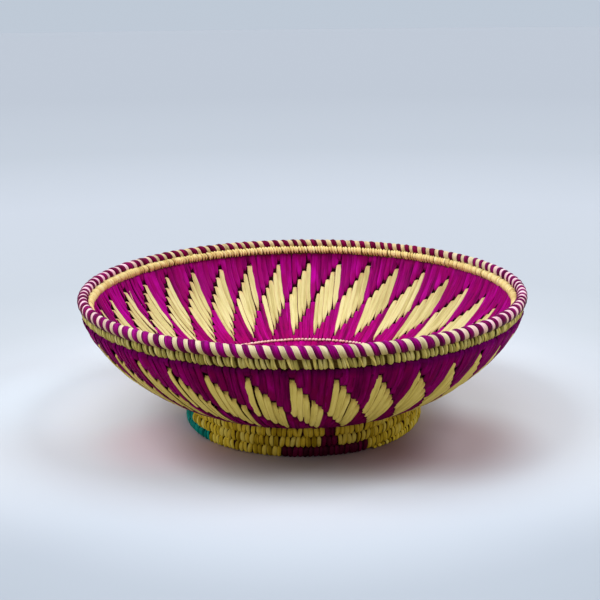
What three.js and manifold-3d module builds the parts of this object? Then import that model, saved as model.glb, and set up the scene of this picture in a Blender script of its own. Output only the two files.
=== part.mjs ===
// Coiled grass basket: a shallow bowl on a foot ring. Grass bundles are coiled row on row into floor,
// wall and foot, and stepped feathers of leaf strips are stitched over the wall, inside and outside.
// Millimetres, +Z up. The origin is on the ground, under the middle of the bowl.
import * as THREE from "three";
import { mergeVertices } from "three/addons/utils/BufferGeometryUtils.js";
import Module from "manifold-3d";

const wasm = await Module();
wasm.setup();

// Driving dimensions of the bowl.
const RIM_RADIUS = 155.5; // to the middle of the rim roll
const ROLL_RADIUS = 4.3; // of the wrapped roll that ends the wall
const OVERALL_HEIGHT = 100;
const RIM_COIL_HEIGHT = 5; // of the straw row under the roll
const RIM_COIL_WIDTH = 7;
const RIM_COIL_TILT = THREE.MathUtils.degToRad(22); // its inner side stands higher than its outer one
const WALL_INSET = 1.7; // how much further in than the roll the middle of the wall ends
const WALL_ROWS = 13; // turns of the coil between the floor and the rim
const COIL_THICKNESS = 4.2; // of the pressed grass bundle, through the wall
const ROW_GAP = 0.9; // between one turn of a coil and the next
const PIECE_GAP = 0.3; // between two pieces that touch

// The wall's curve, as the slope and the pull of its two ends.
const FOOT_END_SLOPE = THREE.MathUtils.degToRad(16);
const FOOT_END_PULL = 27;
const RIM_END_SLOPE = THREE.MathUtils.degToRad(71);
const RIM_END_PULL = 26;

// Driving dimensions of the foot ring.
const FOOT_HEIGHT = 22.2;
const FOOT_ROWS = 3;
const FOOT_COIL_WIDTH = 6;
const FOOT_RADIUS_BOTTOM = 83; // to the middle of the coil
const FOOT_RADIUS_TOP = 85;
const FOOT_ROW_GAP = 0.8;
const FOOT_COIL_START = THREE.MathUtils.degToRad(290);

// The feathers: one to each facet of the wall.
const FEATHERS = 36;
const STRIPS = 5; // leaf strips side by side in a feather
const STRIP_ROWS = 6; // coil rows that a strip runs over
const FEATHER_TOP_ROW = 12; // where the first and highest strip starts
const STRIP_THICKNESS = 0.7;
const STRIP_LAP = 0.3; // how far a strip runs past the row edge where it dives through the wall
const BRIDGE_THICKNESS = 0.3; // of a strip squeezed between two rows
const BRIDGE_SHARE = 0.7; // of the strip's width that is left there
const ROWS_PER_BEND = 3; // coil rows between two bends of a strip
const BEND_ROOM = 1; // what a straight run between two bends cuts off the wall's outer curve
const PATTERN_TURN = THREE.MathUtils.degToRad(0.7); // of the whole pattern, from the +X axis

// The cord that sews the bowl to its foot, laid on the inside.
const SEAM_CORD_RADIUS = 0.7;
const SEAM_CORD_DISTANCE = 5.2; // up the wall from where the floor ends

// How the round forms are divided: a facet is one feather wide, and a coil climbs one row in a few facets.
const FACETS = FEATHERS;
const CLIMB_FACETS = 4;
const FLOOR_STEP_FACETS = 2; // the small turns of the floor need fewer steps
const ROLL_SIDES = 8;
const CORD_SIDES = 4;
const FACET_ANGLE = (2 * Math.PI) / FACETS;
const FIRST_EDGE = PATTERN_TURN + FACET_ANGLE / 2;
// A facet's two edges lie as far outside the true round as its middle lies inside it.
const FACET_STRETCH = 2 / (1 + Math.cos(FACET_ANGLE / 2));

// Heights and radii that follow from them.
const ROLL_HEIGHT = OVERALL_HEIGHT - ROLL_RADIUS;
const ROLL_REACH = ROLL_RADIUS / Math.cos(Math.PI / ROLL_SIDES); // to the corners between its flats
const RIM_COIL_DROP = ROLL_REACH + PIECE_GAP + RIM_COIL_HEIGHT / 2; // from the roll's middle to the row's
const RIM_COIL_RADIUS = RIM_RADIUS - RIM_COIL_DROP * Math.sin(RIM_COIL_TILT);
const RIM_COIL_MIDDLE = ROLL_HEIGHT - RIM_COIL_DROP * Math.cos(RIM_COIL_TILT);
const WALL_END_RADIUS = RIM_RADIUS - WALL_INSET;
const WALL_TOP =
  RIM_COIL_MIDDLE -
  (RIM_COIL_HEIGHT / 2 + PIECE_GAP) / Math.cos(RIM_COIL_TILT) -
  (WALL_END_RADIUS - RIM_COIL_RADIUS) * Math.tan(RIM_COIL_TILT);
const FLOOR_HEIGHT = FOOT_HEIGHT + PIECE_GAP + COIL_THICKNESS / 2;
const FLOOR_RADIUS = FOOT_RADIUS_TOP;

const LEAF_MAGENTA = { color: 0x9c0a80, roughness: 0.55, metalness: 0 };
const LEAF_CREAM = { color: 0xd9cc86, roughness: 0.6, metalness: 0 };
const STRAW = { color: 0xc9ac5c, roughness: 0.7, metalness: 0 };
const FOOT_STRAW = { color: 0xa99a2c, roughness: 0.7, metalness: 0 };
const CORD_PEACH = { color: 0xe8a27c, roughness: 0.7, metalness: 0 };

const basket = new THREE.Group();

function addPiece(name, geometry, finish) {
  const piece = new THREE.Mesh(geometry, new THREE.MeshStandardMaterial(finish));
  piece.name = name;
  basket.add(piece);
}

// The middle line of floor and wall, seen from the side. Distance 0 is where the floor meets the wall.
const wallCurve = new THREE.CubicBezierCurve(
  new THREE.Vector2(FLOOR_RADIUS, FLOOR_HEIGHT),
  new THREE.Vector2(
    FLOOR_RADIUS + FOOT_END_PULL * Math.cos(FOOT_END_SLOPE),
    FLOOR_HEIGHT + FOOT_END_PULL * Math.sin(FOOT_END_SLOPE),
  ),
  new THREE.Vector2(
    WALL_END_RADIUS - RIM_END_PULL * Math.cos(RIM_END_SLOPE),
    WALL_TOP - RIM_END_PULL * Math.sin(RIM_END_SLOPE),
  ),
  new THREE.Vector2(WALL_END_RADIUS, WALL_TOP),
);
const WALL_LENGTH = wallCurve.getLength();
const ROW_PITCH = WALL_LENGTH / WALL_ROWS;

// A point of the side view: `distance` along the middle line and `out` of it, down and out being positive.
function sidePoint(distance, out) {
  if (distance <= 0) return new THREE.Vector2(FLOOR_RADIUS + distance, FLOOR_HEIGHT - out);
  const share = Math.min(distance / WALL_LENGTH, 1);
  const point = wallCurve.getPointAt(share);
  const along = wallCurve.getTangentAt(share);
  return new THREE.Vector2(point.x + along.y * out, point.y - along.x * out);
}

// Turns a point of the side view round to an angle. The point lies on the edge between two facets.
function spin(point, angle) {
  const radius = point.x * FACET_STRETCH;
  return new THREE.Vector3(radius * Math.cos(angle), radius * Math.sin(angle), point.y);
}

// The same for an angle inside a facet, on the flat between the facet's two edges.
function spinOnFacet(point, facet, angle) {
  const middle = FIRST_EDGE + (facet + 0.5) * FACET_ANGLE;
  const radius = (point.x * FACET_STRETCH * Math.cos(FACET_ANGLE / 2)) / Math.cos(angle - middle);
  return new THREE.Vector3(radius * Math.cos(angle), radius * Math.sin(angle), point.y);
}

// A closed body through sections that follow each other counterclockwise round the bowl. A section is a list of
// Vector3, itself counterclockwise as the side view shows it.
function loft(sections) {
  const count = sections[0].length;
  const points = sections.flat();
  const triangles = [];
  for (let ring = 0; ring + 1 < sections.length; ring++) {
    for (let side = 0; side < count; side++) {
      const a = ring * count + side;
      const b = ring * count + ((side + 1) % count);
      triangles.push(a, b + count, b, a, a + count, b + count);
    }
  }
  const last = (sections.length - 1) * count;
  for (let side = 1; side + 1 < count; side++) {
    triangles.push(0, side, side + 1);
    triangles.push(last, last + side + 1, last + side);
  }
  const geometry = new THREE.BufferGeometry().setFromPoints(points);
  geometry.setIndex(triangles);
  geometry.computeVertexNormals();
  return geometry;
}

function toSolid(geometry) {
  const bare = geometry.clone();
  bare.deleteAttribute("normal");
  const merged = mergeVertices(bare, 1e-4);
  return new wasm.Manifold(
    new wasm.Mesh({
      numProp: 3,
      vertProperties: new Float32Array(merged.attributes.position.array),
      triVerts: new Uint32Array(merged.index.array),
    }),
  );
}

function toGeometry(solid) {
  const mesh = solid.getMesh();
  const geometry = new THREE.BufferGeometry();
  geometry.setAttribute("position", new THREE.BufferAttribute(new Float32Array(mesh.vertProperties), 3));
  geometry.setIndex(new THREE.BufferAttribute(new Uint32Array(mesh.triVerts), 1));
  const faceted = geometry.toNonIndexed();
  faceted.computeVertexNormals();
  return faceted;
}

// Sections of a bundle, as shares of half its height and half its width. The leaf strips press a wall bundle
// flat on both faces, over this share of its height.
const PRESSED = 0.72;
const FLAT_SIDED = [[-1, 0], [-PRESSED, 1], [PRESSED, 1], [1, 0], [PRESSED, -1], [-PRESSED, -1]];
const FLAT_TOPPED = [[-1, 0.5], [0, 1], [1, 0.5], [1, -0.5], [0, -1], [-1, -0.5]];
const BOARD = [[-1, 1], [1, 1], [1, -1], [-1, -1]];

// How far row `row` has climbed at a facet edge, in rows: it lies level but for the first few facets of its turn.
function climb(row, edge) {
  return row - 1 + Math.min(edge / CLIMB_FACETS, 1);
}

// A turn of the floor or wall coil at one facet edge. It stays between the rows that first and last name.
function rowSection(row, edge, shape, firstRow, lastRow) {
  const low = Math.max(climb(row, edge), firstRow) * ROW_PITCH + ROW_GAP / 2;
  const high = Math.min(climb(row, edge) + 1, lastRow) * ROW_PITCH - ROW_GAP / 2;
  const middle = (low + high) / 2;
  const centre = sidePoint(middle, 0);
  const across = sidePoint(middle, 1).sub(centre);
  const along = new THREE.Vector2(-across.y, across.x);
  const halfHeight = (high - low) / 2;
  return shape.map(([a, b]) =>
    centre
      .clone()
      .addScaledVector(along, a * halfHeight)
      .addScaledVector(across, (b * COIL_THICKNESS) / 2),
  );
}

function footRadius(height) {
  return THREE.MathUtils.mapLinear(height, 0, FOOT_HEIGHT, FOOT_RADIUS_BOTTOM, FOOT_RADIUS_TOP);
}

// A turn of the foot coil at one facet edge. Its flat underside and top keep within the foot's height.
function footSection(row, edge) {
  const pitch = (FOOT_HEIGHT + FOOT_ROW_GAP) / FOOT_ROWS;
  const low = Math.max(climb(row, edge) * pitch, 0);
  const high = Math.min((climb(row, edge) + 1) * pitch - FOOT_ROW_GAP, FOOT_HEIGHT);
  const middle = (low + high) / 2;
  return FLAT_TOPPED.map(
    ([a, b]) =>
      new THREE.Vector2(footRadius(middle) + (b * FOOT_COIL_WIDTH) / 2, middle + (a * (high - low)) / 2),
  );
}

// One unbroken coil: turns from `from` to `to`, each given as [row, edge], with a section every `step` facets.
function coilSections(from, to, step, section) {
  const turns = [];
  const first = from[0] * FACETS + from[1];
  const last = to[0] * FACETS + to[1];
  for (let place = first; place <= last; place += step) {
    const row = Math.floor(place / FACETS);
    turns.push({ place, outline: section(row, place - row * FACETS) });
  }
  return turns;
}

function coilGeometry(turns, startAngle) {
  return loft(turns.map(({ place, outline }) => outline.map((p) => spin(p, startAngle + place * FACET_ANGLE))));
}

// The least distance from a coil to itself, measured between points along the outlines of neighbouring turns.
function leastGap(turns, step) {
  const perTurn = FACETS / step;
  const pointsPerSide = 8; // of an outline
  const spread = (outline) =>
    outline.flatMap((corner, side) => {
      const next = outline[(side + 1) % outline.length];
      return Array.from({ length: pointsPerSide }, (_, i) => corner.clone().lerp(next, i / pointsPerSide));
    });
  let least = Infinity;
  for (let place = 0; place + perTurn < turns.length; place++) {
    const above = spread(turns[place + perTurn].outline);
    for (const p of spread(turns[place].outline)) {
      for (const q of above) least = Math.min(least, p.distanceTo(q));
    }
  }
  return least;
}

// A level ring: one turn whose two ends meet across a small gap.
function ringGeometry(outline, startAngle) {
  const endGap = PIECE_GAP / outline[0].x;
  const sections = [];
  for (let edge = 0; edge <= FACETS; edge++) {
    const angle = startAngle + edge * FACET_ANGLE - (edge === FACETS ? endGap : 0);
    sections.push(outline.map((p) => spin(p, angle)));
  }
  return loft(sections);
}

// The outline of a round cord, with flats that touch the true round.
function roundOutline(centre, radius, sides) {
  const reach = radius / Math.cos(Math.PI / sides);
  return Array.from({ length: sides }, (_, i) => {
    const turn = (2 * Math.PI * (i + 0.5)) / sides;
    return new THREE.Vector2(centre.x + reach * Math.cos(turn), centre.y + reach * Math.sin(turn));
  });
}

// The floor: a knot at the middle, and a flat coil around it. The knot is at least half a row in radius.
const FLOOR_ROWS = Math.floor(FLOOR_RADIUS / ROW_PITCH - 0.5);
const KNOT_RADIUS = FLOOR_RADIUS - FLOOR_ROWS * ROW_PITCH - ROW_GAP / 2;
const KNOT_SIDES = 12;

function makeFloor() {
  const knot = new THREE.CylinderGeometry(KNOT_RADIUS, KNOT_RADIUS, COIL_THICKNESS, KNOT_SIDES);
  knot.rotateX(Math.PI / 2);
  knot.translate(0, 0, FLOOR_HEIGHT);
  addPiece("centre_knot", knot, LEAF_MAGENTA);

  const turns = coilSections([-FLOOR_ROWS, CLIMB_FACETS], [0, 0], FLOOR_STEP_FACETS, (row, edge) =>
    rowSection(row, edge, BOARD, -FLOOR_ROWS, WALL_ROWS),
  );
  addPiece("floor_coil", coilGeometry(turns, FIRST_EDGE), LEAF_MAGENTA);
  console.log(`floor_coil: least gap to itself ${leastGap(turns, FLOOR_STEP_FACETS).toFixed(2)} mm`);
}

// The wall: the coil goes on from the floor, climbs row by row, and tapers out under the rim.
function makeWall() {
  const turns = coilSections([0, 0], [WALL_ROWS, CLIMB_FACETS - 1], 1, (row, edge) =>
    rowSection(row, edge, FLAT_SIDED, -1, WALL_ROWS),
  );
  turns[0].place += PIECE_GAP / FLOOR_RADIUS / FACET_ANGLE;
  addPiece("wall_coil", coilGeometry(turns, FIRST_EDGE), LEAF_MAGENTA);
  console.log(`wall_coil: least gap to itself ${leastGap(turns, 1).toFixed(2)} mm`);
}

// The foot: three rows of coil that lean out a little, starting and ending in a taper.
function makeFoot() {
  const turns = coilSections([0, 1], [FOOT_ROWS, CLIMB_FACETS - 1], 1, footSection);
  addPiece("foot_coil", coilGeometry(turns, FIRST_EDGE + FOOT_COIL_START), FOOT_STRAW);
  console.log(`foot_coil: least gap to itself ${leastGap(turns, 1).toFixed(2)} mm`);
}

// The rim: a straw row on top of the wall, and the roll that the rim strips are wound on.
function makeRim() {
  const rowCentre = new THREE.Vector2(RIM_COIL_RADIUS, RIM_COIL_MIDDLE);
  const rowOutline = FLAT_TOPPED.map(([a, b]) =>
    new THREE.Vector2((b * RIM_COIL_WIDTH) / 2, (a * RIM_COIL_HEIGHT) / 2)
      .rotateAround(new THREE.Vector2(), -RIM_COIL_TILT)
      .add(rowCentre),
  );
  addPiece("rim_coil", ringGeometry(rowOutline, FIRST_EDGE), STRAW);
  const rollOutline = roundOutline(new THREE.Vector2(RIM_RADIUS, ROLL_HEIGHT), ROLL_RADIUS, ROLL_SIDES);
  addPiece("rim_roll", ringGeometry(rollOutline, FIRST_EDGE), LEAF_MAGENTA);
}

function makeSeamCord() {
  const centre = sidePoint(SEAM_CORD_DISTANCE, -COIL_THICKNESS / 2 - PIECE_GAP - SEAM_CORD_RADIUS);
  const outline = roundOutline(centre, SEAM_CORD_RADIUS, CORD_SIDES);
  addPiece("foot_seam_cord", ringGeometry(outline, FIRST_EDGE), CORD_PEACH);
}

// The distances at which the strips of a facet bend: every few rows, in the middle of a row.
function bendDistances(facet) {
  const risen = climb(0, facet + 0.5);
  const bends = [];
  for (let row = 0.5; row < WALL_ROWS + ROWS_PER_BEND; row += ROWS_PER_BEND) {
    bends.push((row + risen) * ROW_PITCH);
  }
  return bends;
}

// A point of the side view on the straight run between the two bends around a distance.
function bentPoint(distance, out, bends) {
  const next = bends.findIndex((bend) => bend >= distance);
  const share = (distance - bends[next - 1]) / (bends[next] - bends[next - 1]);
  return sidePoint(bends[next - 1], out).lerp(sidePoint(bends[next], out), share);
}

// A point on a facet at an angle, a distance along the wall and a depth out of its middle line.
function facetPoint(facet, angle, distance, out, bends) {
  return spinOnFacet(bentPoint(distance, out, bends), facet, angle);
}

// The outline of strips side by side, cut to the run between two bends. A corner is (side of a strip, distance).
function stripOutline(strips, low, high) {
  const shown = strips
    .map(({ bottom, top }, index) => ({ index, bottom: Math.max(bottom, low), top: Math.min(top, high) }))
    .filter(({ bottom, top }) => bottom < top);
  const corner = (x, y) => new THREE.Vector2(x, y);
  const chain = [
    ...shown.flatMap(({ index, bottom }) => [corner(index, bottom), corner(index + 1, bottom)]),
    ...shown.reverse().flatMap(({ index, top }) => [corner(index + 1, top), corner(index, top)]),
  ];
  // Points in the middle of a straight edge are left out.
  return chain.filter((point, i) => {
    const before = chain.at(i - 1);
    const after = chain[(i + 1) % chain.length];
    const straightUp = before.x === point.x && point.x === after.x;
    const straightAcross = before.y === point.y && point.y === after.y;
    return !point.equals(before) && !straightUp && !straightAcross;
  });
}

// Strips side by side as one plate that lies on a facet between two depths.
function stripPlate(facet, strips, sideAngle, depths) {
  const bends = bendDistances(facet);
  const corners = [];
  const cornerIndex = new Map();
  const indexOf = (point) => {
    const key = `${point.x} ${point.y}`;
    if (!cornerIndex.has(key)) cornerIndex.set(key, corners.push(point) - 1);
    return cornerIndex.get(key);
  };
  const faces = [];
  for (let run = 1; run < bends.length; run++) {
    const outline = stripOutline(strips, bends[run - 1], bends[run]);
    if (outline.length === 0) continue;
    for (const face of THREE.ShapeUtils.triangulateShape(outline, [])) {
      const turned = THREE.ShapeUtils.isClockWise(face.map((i) => outline[i])) ? face.reverse() : face;
      faces.push(turned.map((i) => indexOf(outline[i])));
    }
  }
  const far = corners.length;
  const edges = new Set(faces.flatMap(([a, b, c]) => [`${a} ${b}`, `${b} ${c}`, `${c} ${a}`]));
  const triangles = faces.flatMap(([a, b, c]) => [a, c, b, far + a, far + b, far + c]);
  for (const edge of edges) {
    const [a, b] = edge.split(" ").map(Number);
    if (!edges.has(`${b} ${a}`)) triangles.push(a, b, far + b, a, far + b, far + a);
  }
  const points = depths.flatMap((out) =>
    corners.map((corner) => facetPoint(facet, sideAngle(corner.x), corner.y, out, bends)),
  );
  const geometry = new THREE.BufferGeometry().setFromPoints(points);
  geometry.setIndex(triangles);
  return toSolid(geometry);
}

// A feather: five strips in steps of one row, on both faces of the wall. At the top of the highest strip it
// passes through the wall, squeezed between two rows.
function makeFeather(facet) {
  const inner = -COIL_THICKNESS / 2 - PIECE_GAP;
  const outer = COIL_THICKNESS / 2 + PIECE_GAP + BEND_ROOM;
  const stripAngle = FACET_ANGLE / (STRIPS + 1);
  const sideAngle = (side) => FIRST_EDGE + facet * FACET_ANGLE + (side + 0.5) * stripAngle;
  const strips = Array.from({ length: STRIPS }, (_, strip) => {
    const risen = climb(0, facet + (strip + 1) / (STRIPS + 1));
    const top = (FEATHER_TOP_ROW - strip + risen) * ROW_PITCH;
    return { top: top + STRIP_LAP, bottom: top - STRIP_ROWS * ROW_PITCH - STRIP_LAP };
  });
  const way = strips[0].top - STRIP_LAP;
  const bridge = stripPlate(
    facet,
    [{ bottom: way - BRIDGE_THICKNESS / 2, top: way + BRIDGE_THICKNESS / 2 }],
    (side) => sideAngle((1 - BRIDGE_SHARE) / 2 + side * BRIDGE_SHARE),
    [inner - STRIP_THICKNESS / 2, outer + STRIP_THICKNESS / 2],
  );
  const insidePlate = stripPlate(facet, strips, sideAngle, [inner - STRIP_THICKNESS, inner]);
  const outsidePlate = stripPlate(facet, strips, sideAngle, [outer, outer + STRIP_THICKNESS]);
  return toGeometry(insidePlate.add(outsidePlate).add(bridge));
}

makeFloor();
makeWall();
makeFoot();
makeRim();
makeSeamCord();
for (let facet = 0; facet < FEATHERS; facet++) {
  addPiece(`feather_${String(facet + 1).padStart(2, "0")}`, makeFeather(facet), LEAF_CREAM);
}

export default basket;
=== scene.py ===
"""Looks of the coiled grass basket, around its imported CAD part: bundles, leaf strips, wrapped rim and foot.

Lengths are in millimetres until a mesh is made, and in metres for the stage, the lights and the camera. The
basket stands on the floor with its axis on +Z. Angles are in degrees and go counterclockwise seen from above,
and the camera looks along +Y.
"""
import math
from dataclasses import dataclass

import bpy
import numpy as np
from mathutils import Euler, Matrix, Vector


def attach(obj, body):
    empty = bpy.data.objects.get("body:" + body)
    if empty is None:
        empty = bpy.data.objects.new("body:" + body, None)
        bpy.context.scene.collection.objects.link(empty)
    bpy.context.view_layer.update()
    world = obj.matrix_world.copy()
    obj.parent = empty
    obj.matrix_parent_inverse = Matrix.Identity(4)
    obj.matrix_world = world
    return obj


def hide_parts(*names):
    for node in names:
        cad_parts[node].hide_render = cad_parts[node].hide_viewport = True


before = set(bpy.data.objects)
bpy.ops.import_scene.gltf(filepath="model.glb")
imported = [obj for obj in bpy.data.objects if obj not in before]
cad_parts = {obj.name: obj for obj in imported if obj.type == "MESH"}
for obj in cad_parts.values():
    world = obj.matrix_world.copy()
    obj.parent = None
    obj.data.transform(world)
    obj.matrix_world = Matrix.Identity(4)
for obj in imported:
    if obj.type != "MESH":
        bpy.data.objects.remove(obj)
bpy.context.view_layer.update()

MM = 0.001

# The bowl's sizes, as the CAD part has them. The slopes and the tilt are in radians.
RIM_RADIUS = 155.5
ROLL_RADIUS = 4.3
ROLL_SIDES = 8
OVERALL_HEIGHT = 100.0
RIM_COIL_HEIGHT = 5.0
RIM_COIL_WIDTH = 7.0
RIM_COIL_TILT = math.radians(22)
WALL_INSET = 1.7
WALL_ROWS = 13
FLOOR_ROWS = 11
COIL_THICKNESS = 4.2
PIECE_GAP = 0.3
FOOT_END_SLOPE = math.radians(16)
FOOT_END_PULL = 27.0
RIM_END_SLOPE = math.radians(71)
RIM_END_PULL = 26.0
FOOT_HEIGHT = 22.2
FOOT_ROWS = 3
FOOT_COIL_WIDTH = 6.0
FOOT_RADIUS_BOTTOM = 83.0
FOOT_RADIUS_TOP = 85.0
FOOT_COIL_START = 290.0
FEATHERS = 36
FEATHER_STRIPS = 5
FEATHER_TOP_ROW = 12
STRIP_ROWS = 6
PATTERN_TURN = 0.7
CLIMB_FACETS = 4
FACET_DEGREES = 360 / FEATHERS
FIRST_EDGE = PATTERN_TURN + FACET_DEGREES / 2

ROLL_HEIGHT = OVERALL_HEIGHT - ROLL_RADIUS
ROLL_REACH = ROLL_RADIUS / math.cos(math.pi / ROLL_SIDES)
RIM_COIL_DROP = ROLL_REACH + PIECE_GAP + RIM_COIL_HEIGHT / 2
RIM_COIL_RADIUS = RIM_RADIUS - RIM_COIL_DROP * math.sin(RIM_COIL_TILT)
RIM_COIL_MIDDLE = ROLL_HEIGHT - RIM_COIL_DROP * math.cos(RIM_COIL_TILT)
WALL_END_RADIUS = RIM_RADIUS - WALL_INSET
WALL_TOP = (
    RIM_COIL_MIDDLE
    - (RIM_COIL_HEIGHT / 2 + PIECE_GAP) / math.cos(RIM_COIL_TILT)
    - (WALL_END_RADIUS - RIM_COIL_RADIUS) * math.tan(RIM_COIL_TILT)
)
FLOOR_HEIGHT = FOOT_HEIGHT + PIECE_GAP + COIL_THICKNESS / 2
FLOOR_RADIUS = FOOT_RADIUS_TOP

# How many strips, wraps and stitches there are, counted in the photograph or judged from it.
FACET_STRIPS = FEATHER_STRIPS + 1  # a feather's cream ones and a magenta one beside them
KNOT_STRIPS = 14
RIM_PAIRS = 109
RIM_STRANDS = 400
RIM_BEANS = 286
FOOT_WRAPS_PER_TURN = 152.5
SEAM_STITCHES = 196


# The wall's middle line.

def wall_curve():
    """The middle line of the wall: points, directions and the distance along it at each."""
    a, d = np.array([(FLOOR_RADIUS, FLOOR_HEIGHT), (WALL_END_RADIUS, WALL_TOP)])
    b = a + FOOT_END_PULL * np.array([math.cos(FOOT_END_SLOPE), math.sin(FOOT_END_SLOPE)])
    c = d - RIM_END_PULL * np.array([math.cos(RIM_END_SLOPE), math.sin(RIM_END_SLOPE)])
    t = np.linspace(0, 1, 1001)[:, None]
    points = (1 - t) ** 3 * a + 3 * (1 - t) ** 2 * t * b + 3 * (1 - t) * t**2 * c + t**3 * d
    steps = np.hypot(*np.diff(points, axis=0).T)
    distances = np.concatenate([[0], np.cumsum(steps)])
    directions = np.gradient(points, distances, axis=0)
    directions /= np.linalg.norm(directions, axis=1)[:, None]
    return points, directions, distances


CURVE, CURVE_DIRECTION, CURVE_DISTANCE = wall_curve()
WALL_LENGTH = CURVE_DISTANCE[-1]
ROW_PITCH = WALL_LENGTH / WALL_ROWS


def side_direction(distance):
    """Which way the middle line runs, as its radial and upward share. The floor is level."""
    radial = np.interp(distance, CURVE_DISTANCE, CURVE_DIRECTION[:, 0])
    upward = np.interp(distance, CURVE_DISTANCE, CURVE_DIRECTION[:, 1])
    on_floor = np.asarray(distance) <= 0
    return np.where(on_floor, 1.0, radial), np.where(on_floor, 0.0, upward)


def side_point(distance, out):
    """Radius and height at a distance along the middle line, and out of it, downward and outward."""
    radial, upward = side_direction(distance)
    over = np.asarray(distance) - np.clip(distance, 0, WALL_LENGTH)
    radius = np.interp(distance, CURVE_DISTANCE, CURVE[:, 0]) + radial * over + upward * out
    height = np.interp(distance, CURVE_DISTANCE, CURVE[:, 1]) + upward * over - radial * out
    return radius, height


def climb(row, edge):
    """How far a row has climbed, in rows, at a number of facets from the start of its turn."""
    return row - 1 + np.minimum(edge / CLIMB_FACETS, 1)


def row_edges(place, first_row, last_row, pitch):
    """Low and high edge of a coil at a place, counted in facets from the start of its row 0."""
    row = np.floor(place / FEATHERS)
    climbed = climb(row, place - row * FEATHERS)
    return np.clip([climbed, climbed + 1], first_row, last_row) * pitch


def at_sides(degrees):
    """1 at the left and right of the basket, and 0 in front and at the back."""
    return np.cos(np.radians(degrees)) ** 4


def all_round(count):
    """Evenly spaced angles all the way round."""
    return np.linspace(0, 360, count, endpoint=False)


def around(radius, degrees, height):
    """Points in space from radius, angle and height."""
    angle = np.radians(degrees)
    radius, angle, height = np.broadcast_arrays(radius, angle, height)
    return np.stack([radius * np.cos(angle), radius * np.sin(angle), height], axis=-1)


# Meshes.

SHARP_DEGREES = 50


def sweep(sections, closed_along):
    """Outward faces of many closed bodies at once, which are all made the same way round.

    The sections have the shape (bodies, stations, around, 3).
    """
    index = np.arange(sections[..., 0].size).reshape(sections.shape[:3])
    after = np.roll(index, -1, axis=1) if closed_along else index[:, 1:]
    here = index if closed_along else index[:, :-1]
    quads = np.stack([here, np.roll(here, -1, axis=2), np.roll(after, -1, axis=2), after], axis=-1)
    faces = quads.reshape(-1, 4).tolist()
    if not closed_along:
        faces += index[:, 0, ::-1].tolist()
        faces += index[:, -1].tolist()
    a, b, c, d = sections.reshape(-1, 3)[quads.reshape(-1, 4).T]
    volume = np.sum(a * (np.cross(b, c) + np.cross(c, d)))
    return faces if volume > 0 else [face[::-1] for face in faces]


def new_object(name, data):
    """An object in the scene."""
    made = bpy.data.objects.new(name, data)
    bpy.context.scene.collection.objects.link(made)
    return made


def add_piece(name, sections, leaf, grain, material, slot, nodes, closed_along=False):
    """A piece of many closed bodies. `leaf` and `grain` are what its material reads at each point."""
    mesh = bpy.data.meshes.new(name)
    mesh.from_pydata((sections.reshape(-1, 3) * MM).tolist(), [], sweep(sections, closed_along))
    leaf = np.concatenate([leaf, np.ones_like(leaf[..., :1])], axis=-1)
    for mark, kind, field, values in (
        ("leaf", "FLOAT_COLOR", "color", leaf),
        ("grain", "FLOAT_VECTOR", "vector", grain),
    ):
        layer = mesh.attributes.new(mark, kind, "POINT")
        layer.data.foreach_set(field, values.astype(np.float32).ravel())
    mesh.shade_smooth()
    mesh.set_sharp_from_angle(angle=math.radians(SHARP_DEGREES))
    mesh.materials.append(material)
    piece = new_object(name, mesh)
    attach(piece, "root")
    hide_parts(*nodes)


# A leaf strip's section has its edge, three points over the top, its other edge, and two points underneath.
STRIP_CROWN = np.array([0.0, 0.66, 1.0, 0.66, 0.0, 0.0, 0.0])
STRIP_BELOW = np.array([0.0, 0.0, 0.0, 0.0, 0.0, 1.0, 1.0])
STRIP_THICKNESS = 0.4
UNDERSIDE_SHARE = 0.92  # of the strip's width

# From how near a strip's end its material can tell.
END_SPAN = 20.0

# Moves the grain of one strip away from that of the next.
GRAIN_JUMP = 977


def strip_body(centre, across, up, half_width, crown, tilt, ridge):
    """Sections of flat strips, and each point's share of the half width.

    The ridge is where a strip's crown is highest, as a share of its half width. All but it and the vectors
    have the shape (strips, stations) or (strips, 1).
    """
    flat = np.zeros_like(ridge)
    over = [flat - 1, (ridge - 1) / 2, ridge, (ridge + 1) / 2, flat + 1]
    under = [flat + UNDERSIDE_SHARE, flat - UNDERSIDE_SHARE]
    share = np.stack(over + under, axis=-1)
    share = np.broadcast_to(share[:, None], half_width.shape + share.shape[-1:])
    sideways = half_width[..., None] * share
    height = crown[..., None] * STRIP_CROWN - STRIP_THICKNESS * STRIP_BELOW + tilt[..., None] * share
    middle_to_side = centre[..., None, :] + sideways[..., None] * across[..., None, :]
    return middle_to_side + height[..., None] * up[..., None, :], share


def strip_marks(share, half_width, along, end, chance):
    """What the material reads: side of the strip, distance to an end, chance; and its grain's own space."""
    flat = np.zeros_like(share)
    end = flat + np.clip(end / END_SPAN, 0, 1)[..., None]
    chance = flat + chance[:, None, None]
    leaf = np.stack([share / 2 + 0.5, end, chance], axis=-1)
    grain = np.stack([share * half_width[..., None], flat + along[..., None], chance * GRAIN_JUMP], axis=-1)
    return leaf, grain


def add_core(name, sections, share, length, own_grain, material, slot, nodes, closed_along=False, chance=0.5,
             girth=20):
    """A piece that has no ends for its material, and whose grain runs along it.

    The share is how far round the section a point is. Bodies with a number of their own have another grain.
    """
    share = np.broadcast_to(share, sections.shape[:3])
    leaf = np.stack([share, share * 0 + 1, share * 0 + chance], axis=-1)
    grain = np.stack([share * girth, share * 0 + length, share * 0 + own_grain], axis=-1)
    add_piece(name, sections, leaf, grain, material, slot, nodes, closed_along)


# Materials.

def add_node(tree, kind, values=(), **settings):
    """A shader node with values set on its sockets and settings on the node itself."""
    node = tree.nodes.new("ShaderNode" + kind)
    for setting, value in settings.items():
        setattr(node, setting, value)
    for socket, value in dict(values).items():
        node.inputs[socket].default_value = value
    return node


def link(tree, *pairs):
    for source, target in pairs:
        tree.links.new(source, target)


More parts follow.
